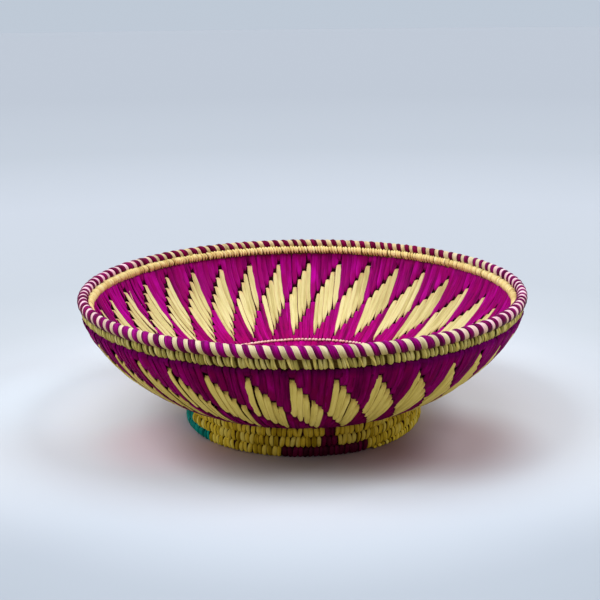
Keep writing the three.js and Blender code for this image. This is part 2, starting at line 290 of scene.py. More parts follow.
def mix_in(tree, factor, colour, other, blend_type="MIX"):
    """The colour with another mixed in where the factor is high."""
    mix = add_node(tree, "Mix", data_type="RGBA", blend_type=blend_type)
    mix.inputs["B"].default_value = (*other, 1)
    link(tree, (factor, mix.inputs["Factor"]), (colour, mix.inputs["A"]))
    return mix.outputs["Result"]


def rise(tree, value, low, high, top=1.0):
    """A value's way from low to high, as 0 to `top`."""
    ends = {"From Min": low, "From Max": high, "To Max": top}
    node = add_node(tree, "MapRange", ends, interpolation_type="SMOOTHSTEP")
    link(tree, (value, node.inputs["Value"]))
    return node.outputs["Result"]


def tinted(tree, colour, tints, operation):
    """The colour times tints: each a hue, a direction or point, and two places along or distances from it.

    From the first of the two to the second, a tint comes in more and more.
    """
    for hue, vector, first, last in tints:
        place = add_node(tree, "NewGeometry")
        measured = add_node(tree, "VectorMath", {1: vector}, operation=operation)
        link(tree, (place.outputs["Position"], measured.inputs[0]))
        nearness = rise(tree, measured.outputs["Value"], first, last)
        colour = mix_in(tree, nearness, colour, hue, "MULTIPLY")
    return colour


def grain_noise(tree, grain, across, along, detail):
    """Noise drawn out along the strip. Across and along are how often it changes in a millimetre."""
    stretch = add_node(tree, "VectorMath", {1: (across, along, 1.0)}, operation="MULTIPLY")
    noise = add_node(tree, "TexNoise", {"Scale": 1.0, "Detail": detail, "Roughness": 0.6})
    link(tree, (grain, stretch.inputs[0]), (stretch.outputs["Vector"], noise.inputs["Vector"]))
    return noise.outputs["Fac"]


def weighted(tree, start, *terms):
    """The sum of a start and of values times their weights."""
    total = None
    for value, weight in terms:
        # The first term adds the start, and each later one the total so far.
        term = add_node(tree, "Math", {1: weight, 2: start}, operation="MULTIPLY_ADD")
        link(tree, (value, term.inputs[0]))
        if total is not None:
            link(tree, (total, term.inputs[2]))
        total = term.outputs["Value"]
    return total


# A leaf's tone is the sum of fine fibres, broader streaks and its own chance. Below the first tone end it is
# all dark, and above the second all light.
FIBRE_WEIGHT = 0.45
STREAK_WEIGHT = 0.70
TONE_ENDS = (0.22, 0.78)
BUMP_STRENGTH = 0.5
BUMP_METRES = 0.0004


def leaf_material(name, dark, middle, light, edge, edge_share=0.7, edge_start=0.36, end=None, end_share=0.6,
                  blush=None, tints=(), roughness=0.5, specular=0.05, streak=0.45, contrast=1.0, own=0.33):
    """Split leaf or straw: grain along the strip, each strip a little different, edges and ends of their own.

    Blush is a second hue in patches. Tints go by direction: some are painted shade and painted highlight,
    as said at each material, and the rest change the hue by place.
    Streak is how often streaks change in a millimetre, and own is the weight of a strip's own chance.
    """
    material = bpy.data.materials.new(name)
    material.use_nodes = True
    tree = material.node_tree
    shader = tree.nodes["Principled BSDF"]
    leaf = add_node(tree, "Attribute", attribute_name="leaf")
    grain = add_node(tree, "Attribute", attribute_name="grain").outputs["Vector"]
    parts = add_node(tree, "SeparateColor")
    link(tree, (leaf.outputs["Color"], parts.inputs["Color"]))
    side, end_distance, chance = (parts.outputs[part] for part in ("Red", "Green", "Blue"))

    fibres = grain_noise(tree, grain, across=2.2, along=0.10, detail=3.0)
    streaks = grain_noise(tree, grain, across=streak, along=0.03, detail=2.0)
    weights = [contrast * weight for weight in (FIBRE_WEIGHT, STREAK_WEIGHT, own)]
    tone = weighted(tree, 0.5 - sum(weights) / 2, *zip((fibres, streaks, chance), weights))
    ramp = add_node(tree, "ValToRGB")
    ramp.color_ramp.elements[0].position = TONE_ENDS[0]
    ramp.color_ramp.elements[0].color = (*dark, 1)
    ramp.color_ramp.elements[1].position = TONE_ENDS[1]
    ramp.color_ramp.elements[1].color = (*light, 1)
    ramp.color_ramp.elements.new(0.5).color = (*middle, 1)
    link(tree, (tone, ramp.inputs["Fac"]))
    colour = ramp.outputs["Color"]

    if blush is not None:
        patches = grain_noise(tree, grain, across=0.09, along=0.035, detail=2.0)
        colour = mix_in(tree, rise(tree, patches, 0.44, 0.64, 0.8), colour, blush)

    # The side of a strip goes from 0 at one edge to 1 at the other, so its middle is at 0.5.
    off_middle = add_node(tree, "Math", {1: 0.5}, operation="SUBTRACT")
    absolute = add_node(tree, "Math", operation="ABSOLUTE")
    link(tree, (side, off_middle.inputs[0]), (off_middle.outputs["Value"], absolute.inputs[0]))
    # Near both edges a strip turns to its edge colour. Where that colour is dark, it is painted shade in the
    # grooves between neighbouring strips.
    near_edge = rise(tree, absolute.outputs["Value"], edge_start, 0.5, edge_share)
    colour = mix_in(tree, near_edge, colour, edge)
    if end is not None:
        colour = mix_in(tree, rise(tree, end_distance, 0.30, 0.0, end_share), colour, end)
    colour = tinted(tree, colour, tints, "DOT_PRODUCT")
    link(tree, (colour, shader.inputs["Base Color"]))

    shine = add_node(tree, "MapRange", {"To Min": roughness - 0.08, "To Max": roughness + 0.12})
    relief = add_node(tree, "Bump", {"Strength": BUMP_STRENGTH, "Distance": BUMP_METRES})
    link(
        tree,
        (fibres, shine.inputs["Value"]),
        (shine.outputs["Result"], shader.inputs["Roughness"]),
        (weighted(tree, 0.0, (fibres, 1.0), (streaks, 1.2)), relief.inputs["Height"]),
        (relief.outputs["Normal"], shader.inputs["Normal"]),
    )
    shader.inputs["Specular IOR Level"].default_value = specular
    return material


# Directions of the tints.
UPWARD = (0, 0, 1)
BACKWARD = (0, 1, 0)
LEFTWARD = (-1, 0, 0)
RIGHTWARD = (1, 0, 0)
RIGHT_FRONT = (0.966, -0.259, 0)

# Each material's dark, middle, light and edge colour, and then what it has of its own.
magenta = leaf_material(
    "leaf_magenta", (0.08, 0, 0.035), (0.34, 0.0003, 0.185), (0.60, 0.001, 0.43),
    (0.08, 0, 0.03), edge_share=0.6, blush=(0.32, 0.0003, 0.13), roughness=0.45, specular=0.03,
    own=0.26, tints=(((1.04, 1.0, 0.80), UPWARD, 0.055, 0.030),),
)
# The outside magenta is a darker copy of the inside one: painted shade. Its tints toward the left and right
# make it lighter there, which is painted light, and its dark ends are painted shade under the straw row and
# in the notches above the cream strips.
outer_magenta = leaf_material(
    "leaf_magenta_outside", (0.05, 0, 0.03), (0.19, 0, 0.12), (0.37, 0, 0.30),
    (0.04, 0, 0.02), edge_share=0.6, edge_start=0.32, end=(0.05, 0, 0.035), end_share=0.75,
    blush=(0.18, 0, 0.08), roughness=0.55, specular=0.01, own=0.22,
    tints=(
        ((1.3, 1.2, 1.3), LEFTWARD, 0.03, 0.11),
        ((1.15, 1.1, 1.35), RIGHTWARD, 0.03, 0.11),
    ),
)
cream = leaf_material(
    "leaf_cream", (0.48, 0.40, 0.14), (0.77, 0.70, 0.31), (0.90, 0.85, 0.46),
    (0.74, 0.42, 0.27), edge_start=0.40, end=(0.72, 0.40, 0.20), own=0.22,
)
outer_cream = leaf_material(
    "leaf_cream_outside", (0.52, 0.46, 0.13), (0.78, 0.73, 0.25), (0.92, 0.88, 0.38),
    (0.40, 0.29, 0.09), edge_start=0.38, end=(0.62, 0.46, 0.14), own=0.22,
)
# The roll's cream: darker and greener low on the roll is painted shade, and the pink, paler wraps at the far
# left and right, and the pink at the wraps' edges, are painted highlight. It is also warmer at the back.
rim_cream = leaf_material(
    "rim_cream", (0.40, 0.36, 0.20), (0.72, 0.65, 0.40), (0.88, 0.82, 0.60),
    (0.90, 0.64, 0.66), edge_start=0.28, roughness=0.42, specular=0.15, streak=0.30,
    contrast=1.2, own=0.10,
    tints=(
        ((0.74, 0.75, 0.58), UPWARD, 0.098, 0.0925),
        ((1.0, 0.90, 0.72), BACKWARD, 0.06, 0.14),
        ((1.36, 0.97, 1.80), LEFTWARD, 0.11, 0.15),
        ((1.34, 1.0, 1.80), RIGHT_FRONT, 0.115, 0.15),
    ),
)
# The roll's magenta: much darker low on the roll, which is painted shade. It is also darker and redder at the
# back and at the far left and right.
rim_magenta = leaf_material(
    "rim_magenta", (0.03, 0, 0.02), (0.23, 0, 0.137), (0.52, 0.001, 0.40),
    (0.03, 0, 0.015), edge_share=0.8, edge_start=0.28, roughness=0.40, specular=0.04, contrast=1.15,
    own=0.10,
    tints=(
        ((0.42, 0.35, 0.34), UPWARD, 0.0985, 0.092),
        ((0.66, 0.5, 0.26), BACKWARD, 0, 0.12),
        ((0.80, 0.3, 0.49), LEFTWARD, 0.11, 0.15),
        ((0.66, 0.3, 0.47), RIGHT_FRONT, 0.11, 0.15),
    ),
)
# The straw row's inside copy is paler than the straw itself, painted light that lifts the shade of the roll.
straw = leaf_material(
    "straw_natural", (0.66, 0.48, 0.17), (0.97, 0.80, 0.36), (1.0, 0.96, 0.58),
    (0.46, 0.28, 0.09), edge_share=0.8, edge_start=0.34, own=0.2,
)
# The straw row's outside copy is darker and greener, which is painted shade under the roll.
outer_straw = leaf_material(
    "straw_natural_outside", (0.25, 0.23, 0.05), (0.53, 0.51, 0.17), (0.76, 0.74, 0.37),
    (0.16, 0.12, 0.03), edge_share=0.85, edge_start=0.27, contrast=1.3, own=0.22,
)
# The straw row's core is dark: painted shade, for where it shows between the stitches.
straw_core = leaf_material(
    "straw_core", (0.05, 0.03, 0.01), (0.16, 0.11, 0.03), (0.30, 0.21, 0.06),
    (0.05, 0.02, 0.006), edge_share=0.3, roughness=0.8,
)
# The golden foot: darker at its front, under the bowl, which is painted shade. It is also darker on the
# right.
golden = leaf_material(
    "straw_yellow", (0.40, 0.29, 0.01), (0.93, 0.74, 0.06), (1.0, 0.92, 0.22),
    (0.20, 0.12, 0.003), edge_share=0.8, edge_start=0.32, contrast=1.3,
    tints=(
        ((0.84, 0.82, 0.80), LEFTWARD, 0.05, -0.03),
        ((0.76, 0.73, 0.73), BACKWARD, -0.06, -0.083),
    ),
)
teal = leaf_material(
    "straw_teal", (0, 0.10, 0.095), (0, 0.30, 0.27), (0.01, 0.46, 0.42),
    (0, 0.06, 0.06),
)
# The foot's magenta patch: magenta darkened almost to black, which is painted shade at the front of the foot,
# under the bowl.
shaded_foot_magenta = leaf_material(
    "leaf_magenta_foot_shade", (0.02, 0, 0.004), (0.065, 0, 0.018), (0.13, 0, 0.04),
    (0.02, 0, 0.004),
)
# The bundles under strips and wraps are near black: painted shade, for where they show between them.
bundle = leaf_material(
    "grass_bundle", (0.012, 0.001, 0.004), (0.035, 0.003, 0.012), (0.08, 0.01, 0.02),
    (0.02, 0.002, 0.006), edge_share=0.3, roughness=0.8,
)
peach = leaf_material(
    "cord_peach", (0.90, 0.40, 0.38), (1.0, 0.68, 0.60), (1.0, 0.86, 0.78),
    (0.70, 0.20, 0.22), edge_share=0.5, roughness=0.6,
)

FEATHER_NODES = [f"feather_{number:02d}" for number in range(1, FEATHERS + 1)]


# The bundle under the strips of wall and floor.

BUNDLE_SIDES = 10
BUNDLE_POWER = 0.8  # below 1, its section is fuller than an oval
BUNDLE_CLEARANCE = 0.1  # between it and the edges of its row
BUNDLE_GRAIN_RADIUS = 110


def coil_bundle(name, first_place, last_place, step, nodes):
    """The coil's grass bundle from one place to another, counted in facets from the start of row 0."""
    places = np.arange(first_place, last_place + step / 2, step)
    low, high = row_edges(places, -FLOOR_ROWS, WALL_ROWS, ROW_PITCH)
    middle = (low + high) / 2
    half = np.minimum(ROW_PITCH, high - low) / 2 - BUNDLE_CLEARANCE
    turn = np.linspace(0, 2 * math.pi, BUNDLE_SIDES, endpoint=False)
    out = COIL_THICKNESS / 2 * np.sign(np.sin(turn)) * np.abs(np.sin(turn)) ** BUNDLE_POWER
    distance = middle[:, None] + half[:, None] * np.cos(turn)
    radius, height = side_point(distance, np.broadcast_to(out, distance.shape))
    degrees = FIRST_EDGE + places * FACET_DEGREES
    sections = around(radius, degrees[:, None], height)[None]
    length = np.radians(degrees)[:, None] * BUNDLE_GRAIN_RADIUS
    add_core(name, sections, turn / (2 * math.pi), length, 5, bundle, "leaf_magenta", nodes)


# The strips over wall and floor.

# Stations where a strip's low and top end dive into the wall, in millimetres from the end.
LOW_DIVE = np.array([0.0, 0.5, 1.1, 1.8, 2.8])
TOP_DIVE = np.array([0.0, 0.35, 0.9, 1.7])
DIVE_DEPTH = 1.7
MIDDLE_STATIONS = 7

# How a strip lies on the coil, in millimetres.
LAID_OFF = 0.5
LAID_OFF_SPREAD = 0.35
PUCKER_DEPTH = 0.10
PUCKER_LENGTH = 2.6
TILT_SPREAD = 0.12

# How far a strip strays: its ends in millimetres, and itself sideways in shares of the strips' spacing.
LOW_STRAY = 0.25
TOP_STRAY = 0.35
SHIFT_STRAY = 0.05
LEAN_STRAY = 0.11
BOW_STRAY = 0.07

# Slivers are thin strips split off beside whole ones. The shift is in degrees, and the cuts and the width are
# shares of the whole strip's length and width.
SLIVER_SHIFT = 0.7
SLIVER_LOW_CUT = (0.0, 0.3)
SLIVER_TOP_CUT = (-0.03, 0.25)
SLIVER_WIDTH = (0.16, 0.38)
SLIVER_LEAN = 5.0
CREAM_SLIVERS = 0.6  # how many cream strips have them, for each magenta one that does


@dataclass
class StripLook:
    """How one kind of strip is cut and laid.

    The width and its spread are shares of the strips' spacing, and the low and top width of that width. The
    crown, tilt, reaches and lift are in millimetres. Loose is how much more than usual the strips stray.
    """
    material: bpy.types.Material
    slot: str
    width: float = 1.2
    width_spread: float = 0.06
    crown: float = 0.55
    tilt: float = 0.25
    low_width: float = 0.6
    low_reach: float = 8.0
    top_width: float = 0.8
    top_reach: float = 4.0
    lift: float = 0.0
    loose: float = 1.0


def strip_distances(low, high):
    """Stations along strips: close together where an end dives into the wall."""
    middle_low = low + LOW_DIVE[-1]
    middle_high = high - TOP_DIVE[-1]
    share = np.linspace(0, 1, MIDDLE_STATIONS + 2)[1:-1]
    middle = middle_low + (middle_high - middle_low) * share
    return np.concatenate([low + LOW_DIVE, middle, high - TOP_DIVE[::-1]], axis=1)


def smooth(x):
    """A soft step from 0 to 1."""
    x = np.clip(x, 0, 1)
    return x * x * (3 - 2 * x)


def side_strips(name, face, layout, step, rng, look, nodes):
    """Leaf strips laid on one face of wall or floor, -1 inside and 1 outside. The step is their spacing."""
    degrees, low, high, width = layout.T[..., None]
    count = len(layout)

    def spread(size):
        return rng.normal(0, size, (count, 1))

    low = low + spread(LOW_STRAY * look.loose)
    high = high + spread(TOP_STRAY * look.loose)
    distance = strip_distances(low, high)
    from_low = distance - low
    from_high = high - distance

    # How far out each station lies.
    sunk = DIVE_DEPTH * (2 - smooth(from_low / LOW_DIVE[-1]) - smooth(from_high / TOP_DIVE[-1]))
    pucker = PUCKER_DEPTH * np.sin(distance / PUCKER_LENGTH + rng.uniform(0, 6, (count, 1)))
    laid_off = LAID_OFF + look.lift + rng.uniform(0, LAID_OFF_SPREAD, (count, 1))
    depth = COIL_THICKNESS / 2 + laid_off + pucker - sunk

    # How far sideways each station lies: the strip is shifted, leans and is bowed.
    share = from_low / (high - low) - 0.5
    shift = spread(SHIFT_STRAY * look.loose)
    lean = spread(LEAN_STRAY) * np.where(width < 1, SLIVER_LEAN, 1.0) * share
    bow = spread(BOW_STRAY * look.loose) * (4 * share**2 - 1)
    angle = degrees + step * (shift + lean + bow)

    radius, height = side_point(distance, face * depth)
    radial, upward = side_direction(distance)
    centre = around(radius, angle, height)
    radians = np.radians(angle)
    across = np.stack([-np.sin(radians), np.cos(radians), np.zeros_like(angle)], axis=-1)
    up = around(face * upward, angle, -face * radial)

    # The section at each station.
    low_taper = (1 - look.low_width) * (1 - smooth(from_low / look.low_reach))
    top_taper = (1 - look.top_width) * (1 - smooth(from_high / look.top_reach))
    tapered = width * (1 - low_taper - top_taper)
    half_width = radius * np.radians(step) * (look.width + spread(look.width_spread)) * tapered / 2
    crown = look.crown * rng.uniform(0.6, 1.3, (count, 1)) * (0.4 + 0.6 * width)
    tilt = (look.tilt + spread(TILT_SPREAD)) * tapered
    ridge = rng.uniform(-0.5, 0.5, count)
    sections, place = strip_body(centre, across, up, half_width, crown, tilt, ridge)
    marks = strip_marks(place, half_width, distance, np.minimum(from_low, from_high), rng.random(count))
    add_piece(name, sections, *marks, look.material, look.slot, nodes)


# The least number of rows that an end piece of a wall strip covers.
END_ROWS = 0.9


def wall_layout(notch, lowest, highest, side_rise):
    """Angle, low end, high end and width of every strip on the wall: the cream ones, and the magenta ones.

    A notch stays open between a cream strip's top and the magenta strip above it. The strips start at the row
    `lowest` and end at the row `highest`, or by the side rise higher at the basket's sides.
    """
    creams = []
    magentas = []
    for facet in range(FEATHERS):
        for strip in range(FACET_STRIPS):
            degrees = FIRST_EDGE + facet * FACET_DEGREES + (strip + 1) * FACET_DEGREES / FACET_STRIPS
            # A strip runs over six rows, and then dives through the wall. Its cream stretch ends at the top.
            top = FEATHER_TOP_ROW - strip + climb(0, facet + (strip + 1) / FACET_STRIPS)
            dives = [top + STRIP_ROWS * number for number in range(-3, 2)]
            ends = [lowest]
            ends += [dive for dive in dives if END_ROWS < dive < WALL_ROWS - END_ROWS]
            ends += [highest + side_rise * at_sides(degrees)]
            for low, high in zip(ends, ends[1:]):
                is_cream = strip < FEATHER_STRIPS and abs(high - top) < 0.01
                above_cream = strip < FEATHER_STRIPS and abs(low - top) < 0.01
                place = (degrees, low * ROW_PITCH + notch * above_cream, high * ROW_PITCH, 1.0)
                (creams if is_cream else magentas).append(place)
    return np.array(creams), np.array(magentas)


def with_slivers(layout, share, rng):
    """The layout with some strips' split-off edges added to it as thin strips."""
    slivers = layout[rng.random(len(layout)) < share]
    count = len(slivers)
    length = slivers[:, 2] - slivers[:, 1]
    slivers[:, 0] += rng.uniform(-SLIVER_SHIFT, SLIVER_SHIFT, count)
    slivers[:, 1] += length * rng.uniform(*SLIVER_LOW_CUT, count)
    slivers[:, 2] -= length * rng.uniform(*SLIVER_TOP_CUT, count)
    slivers[:, 3] = rng.uniform(*SLIVER_WIDTH, count)
    return np.concatenate([layout, slivers])


# The rows that the strips of the centre knot reach over. They end close to the middle.
KNOT_TOP_ROW = -10.35
KNOT_INNER_RADIUS = 1.3
INNERMOST_ROW = (KNOT_INNER_RADIUS - FLOOR_RADIUS) / ROW_PITCH


def floor_layout(highest):
    """The strips of the floor up to a row, in rings with fewer of them toward the middle, and their spacing.

    In each ring every second strip reaches one row further in, but not in the last, which is the knot's.
    """
    for count, high_row, low_rows in (
        (108, highest, (-4, -3)),
        (54, -3.0, (-8, -7)),
        (27, -7.0, (-11, -10)),
        (KNOT_STRIPS, KNOT_TOP_ROW, (INNERMOST_ROW, INNERMOST_ROW)),
    ):
        step = 360 / count
        rows = []
        for number in range(count):
            rows.append((number * step, low_rows[number % 2] * ROW_PITCH, high_row * ROW_PITCH, 1.0))
        yield step, np.array(rows)


def make_wall():
    """The wall's strips on both faces, magenta ones and cream ones, and the bundle that they cover."""
    inside_magenta = StripLook(
        magenta, "leaf_magenta", width=1.27, width_spread=0.12, crown=0.6, tilt=0.16, low_width=0.5,
        low_reach=9.0,
    )
    inside_cream = StripLook(
        cream, "leaf_cream", width=1.14, width_spread=0.07, crown=0.6, low_width=0.38, low_reach=12.0,
        top_width=0.66, top_reach=9.0, lift=0.15,
    )
    outside_magenta = StripLook(
        outer_magenta, "leaf_magenta", width=1.32, width_spread=0.10, crown=0.5, low_width=0.75,
        low_reach=6.0, lift=0.3, loose=1.3,
    )
    outside_cream = StripLook(
        outer_cream, "leaf_cream", width=1.14, width_spread=0.10, low_reach=9.0, top_width=0.7, top_reach=7.0,
        lift=0.5, loose=1.9,
    )
    # Each face's name and side, seed, layout, share of the magenta strips that have slivers, and looks.
    step = FACET_DEGREES / FACET_STRIPS
    for where, face, seed, layout, slivers, magenta_look, cream_look in (
        ("inside", -1, 11, (1.7, 0.60, WALL_ROWS + 0.4, 0.0), 0.35, inside_magenta, inside_cream),
        ("outside", 1, 12, (0.6, 0.12, WALL_ROWS + 0.1, 0.25), 0.6, outside_magenta, outside_cream),
    ):
        rng = np.random.default_rng(seed)
        creams, magentas = wall_layout(*layout)
        magentas = with_slivers(magentas, slivers, rng)
        side_strips(f"wall_leaf_magenta_{where}", face, magentas, step, rng, magenta_look, ["wall_coil"])
        creams = with_slivers(creams, slivers * CREAM_SLIVERS, rng)
        side_strips(f"feather_strips_{where}", face, creams, step, rng, cream_look, FEATHER_NODES)
    coil_bundle("wall_bundle", 0.03, WALL_ROWS * FEATHERS + 3, 0.5, ["wall_coil"])


def make_floor():
    """The floor's strips on both faces, with those of the centre knot, and the bundle that they cover."""
    for where, face, seed, highest, material in (
        ("inside", -1, 21, 0.85, magenta),
        ("underside", 1, 22, 0.2, outer_magenta),
    ):
        look = StripLook(material, "leaf_magenta", width_spread=0.1)
        rng = np.random.default_rng(seed)
        for step, layout in floor_layout(highest):
            nodes = ["centre_knot"] if len(layout) == KNOT_STRIPS else ["floor_coil"]
            side_strips(f"floor_leaf_{where}_{len(layout)}", face, layout, step, rng, look, nodes)
    coil_bundle("floor_bundle", -FLOOR_ROWS * FEATHERS + 4, 0, 1.0, ["floor_coil"])


# Radii and heights of the knot's section, from under the floor to above it.
KNOT_RADII = np.array([3.6, 5.4, 5.4, 3.6])
KNOT_HEIGHTS = np.array([-1.9, -1.2, 1.2, 1.9])
KNOT_SIDES = 16


def make_knot():
    """The knot that the coil starts from."""
    degrees = all_round(KNOT_SIDES)
    height = FLOOR_HEIGHT + KNOT_HEIGHTS[:, None]
    sections = around(KNOT_RADII[:, None], degrees, height)[None]
    share = degrees / 360
    add_core("centre_knot_bundle", sections, share, height, 4, bundle, "leaf_magenta", ["centre_knot"])


# Wraps round a coil.

DIRECTION_STEP = 0.05  # how far along its path a second point is, which shows a wrap's direction
WRAP_GRAIN_RADIUS = 4


def wrap_strips(path, outline, turn, middle, half, slant, lift, crown, rng, tilt_spread):
    """Strips wound round a coil, with what their material reads.

    path(along, up, out) gives points. outline(turn) gives the place on the coil's section and the outward
    direction there, with turn 0 outward and 90 on top. Middle, half width and slant, which is how far ahead
    each station is, are in degrees, or in facets on the foot.
    """
    count = len(middle)
    along = middle[:, None] + slant
    up_at, out_at, up_way, out_way = outline(turn[None])

    def point(along, raised):
        return path(along, up_at + up_way * raised, out_at + out_way * raised)

    raised = lift[:, None]
    centre = point(along, raised)
    across = point(along + DIRECTION_STEP, raised) - centre
    step = np.linalg.norm(across, axis=-1, keepdims=True)
    up = point(along, raised + 1) - centre
    up = up / np.linalg.norm(up, axis=-1, keepdims=True)
    half_width = half * step[..., 0] / DIRECTION_STEP
    tilt = rng.normal(0, tilt_spread, (count, 1))
    ridge = rng.uniform(-0.3, 0.3, count)
    sections, place = strip_body(centre, across / step, up, half_width, crown[:, None], tilt, ridge)
    length = np.radians(turn[None]) * WRAP_GRAIN_RADIUS
    far_end = np.full_like(length, END_SPAN)
    return sections, *strip_marks(place, half_width, length, far_end, rng.random(count))


def oval(half_height, half_width, power):
    """An outline between an oval and a rectangle, with its outward direction."""
    def outline(turn):
        c, s = np.cos(np.radians(turn)), np.sin(np.radians(turn))
        reach = (np.abs(c) ** power + np.abs(s) ** power) ** (-1 / power)
        out_at = c * reach * half_width
        up_at = s * reach * half_height
        out_way = np.sign(c) * np.abs(c * reach) ** (power - 1) / half_width
        up_way = np.sign(s) * np.abs(s * reach) ** (power - 1) / half_height
        size = np.hypot(out_way, up_way)
        return up_at, out_at, up_way / size, out_way / size
    return outline


def ring_path(radius, height, tilt=0.0, lean=0.0):
    """The path of a ring. A tilt, in radians, raises the inner side of its section.

    A lean is how much lower than its middle the ring stands at the back, and how much higher in front.
    """
    def path(angle, up, out):
        outward = out * math.cos(tilt) + up * math.sin(tilt)
        upward = up * math.cos(tilt) - out * math.sin(tilt)
        return around(radius + outward, angle, height + upward - lean * np.sin(np.radians(angle)))
    return path


CORE_SIDES = 12
CORE_STATIONS = 240


def ring_core(name, path, outline, material, slot, nodes):
    """The bundle inside a wrapped ring."""
    turn = all_round(CORE_SIDES)
    degrees = all_round(CORE_STATIONS)[:, None]
    up_at, out_at, _, _ = outline(turn)
    sections = path(degrees, up_at, out_at)[None]
    length = np.radians(degrees) * RIM_RADIUS
    add_core(name, sections, turn / 360, length, 4, material, slot, nodes, closed_along=True)


# The sections of the roll's bundle and of its wraps. The wraps' crowns stand out of theirs.
ROLL_CORE = oval(ROLL_RADIUS - 0.9, ROLL_RADIUS - 1.6, 2.0)
ROLL_SECTION = oval(ROLL_RADIUS - 0.6, ROLL_RADIUS - 1.3, 2.0)
ROLL_OUT = 0.5
ROLL_DOWN = 0.3
ROLL_LEAN = 0.6
WRAP_OVERLAP = 1.05
TAIL_TURN = -50  # where on the section a cream strip leaves the roll


def make_roll():
    """The rolled rim, wound with pairs of strips in two colours.

    Returns the angles at which the cream ones leave it below, and their widths in degrees.
    """
    rng = np.random.default_rng(31)
    path = ring_path(RIM_RADIUS + ROLL_OUT, ROLL_HEIGHT - ROLL_DOWN, lean=ROLL_LEAN)
    ring_core("rim_roll_bundle", path, ROLL_CORE, bundle, "leaf_magenta", ["rim_roll"])

    # Each pair has a length of its own, shared between its two colours. Pairs are longest at the sides, and
    # cream strips are narrowest on the left.
    way = np.linspace(0, 2 * math.pi, RIM_PAIRS, endpoint=False)
    longer = 0.35 * np.abs(np.cos(way)) ** 3 + 0.13 * smooth(-np.sin(way)) + 0.10 * smooth(np.sin(way))
    lengths = rng.uniform(0.84, 1.16, RIM_PAIRS) * (1 + longer)
    starts = np.concatenate([[0], np.cumsum(lengths)]) * 360 / lengths.sum()
    sizes = np.diff(starts)
    cream_share = 0.44 - 0.10 * smooth(-1.6 * np.cos(way) - 0.4) + rng.uniform(-0.05, 0.05, RIM_PAIRS)
    change = starts[:-1] + sizes * cream_share
    turn = np.linspace(255, -105, 28)
    share = np.linspace(0, 1, len(turn))
    slant = share * 360 / RIM_PAIRS * WRAP_OVERLAP
    for name, first, last, lift, crown, taper, material, slot in (
        ("rim_wraps_cream", starts[:-1], change, 0.10, 0.30, 0.25, rim_cream, "leaf_cream"),
        ("rim_wraps_magenta", change, starts[1:], 0.0, 0.80, 0.0, rim_magenta, "leaf_magenta"),
    ):
        narrowed = 1 - taper * np.abs(2 * share - 1) ** 5
        uneven = 1 + 0.06 * rng.standard_normal((RIM_PAIRS, 1))
        half = (last - first)[:, None] / 2 * WRAP_OVERLAP * uneven * narrowed
        lifts = lift + rng.uniform(-0.08, 0.12, RIM_PAIRS)
        crowns = crown * rng.uniform(0.8, 1.15, RIM_PAIRS)
        middle = (first + last) / 2
        made = wrap_strips(path, ROLL_SECTION, turn, middle, half, slant, lifts, crowns, rng, 0.10)
        add_piece(name, *made, material, slot, ["rim_roll"])
    below = np.interp(TAIL_TURN, turn[::-1], slant[::-1])
    return (starts[:-1] + change) / 2 + below, sizes * cream_share


# The straw row under the roll. Its wraps stand a little off the CAD row, as photographed, and outside they
# cover a taller section, which is thinner at the sides of the basket.
OUTER_SECTION = oval(3.6, 3.1, 2.4)
STRAND_TILT = RIM_COIL_TILT + 0.17
SIDE_THINNING = 0.30
TAIL_SHARE = 0.7  # how many of the roll's cream strips have ends that show


def row_path(out, up, tilt=0.0):
    """A ring that lies this far out and up from the middle of the straw row."""
    return ring_path(RIM_COIL_RADIUS + out, RIM_COIL_MIDDLE + up, tilt)


def outer_row_path(angle, up, out):
    """The path of the straw row's outside."""
    return row_path(out=0.7, up=0.6)(angle, up * (1 - SIDE_THINNING * at_sides(angle)), out)


def make_strands(rng):
    """Inside, a stitch of the straw row is a bead in a close row, narrower at both ends."""
    section = oval(RIM_COIL_HEIGHT / 2 - 0.5, RIM_COIL_WIDTH / 2 - 1.1, 2.4)
    count = RIM_STRANDS
    step = 360 / count
    turn = np.linspace(80, 262, 19)
    share = np.linspace(0, 1, len(turn))
    middle = (np.arange(count) + rng.normal(0, 0.06, count)) * step
    narrowed = 1 - 0.20 * smooth((0.35 - share) / 0.3) - 0.42 * smooth((share - 0.66) / 0.34)
    half = step / 2 * rng.uniform(0.98, 1.14, (count, 1)) * narrowed
    slant = -step * share * (0.9 + 0.16 * rng.standard_normal((count, 1)))
    lift = rng.uniform(-0.2, 0.3, count)
    crown = rng.uniform(1.0, 1.5, count)
    path = row_path(out=-0.3, up=2.0, tilt=STRAND_TILT)
    made = wrap_strips(path, section, turn, middle, half, slant, lift, crown, rng, 0.15)
    add_piece("rim_coil_strands", *made, straw, "straw_natural", ["rim_coil"])


def make_beans(rng):
    """Outside, a stitch of the straw row is a bean, narrow under the roll, and leans its own way."""
    count = RIM_BEANS
    step = 360 / count
    turn = np.linspace(80, -100, 18)
    share = np.linspace(0, 1, len(turn))
    middle = (np.arange(count) + rng.normal(0, 0.12, count)) * step
    narrowed = 0.82 - 0.20 * np.sin(np.radians(turn)) - 0.34 * smooth((share - 0.68) / 0.32)
    half = step / 2 * rng.uniform(0.92, 1.14, (count, 1)) * narrowed
    slant = step * share * (0.7 + 0.28 * rng.standard_normal((count, 1)))
    lift = rng.uniform(-0.2, 0.35, count)
    crown = rng.uniform(0.8, 1.2, count)
    made = wrap_strips(outer_row_path, OUTER_SECTION, turn, middle, half, slant, lift, crown, rng, 0.22)
    add_piece("rim_coil_beans", *made, outer_straw, "straw_natural", ["rim_coil"])


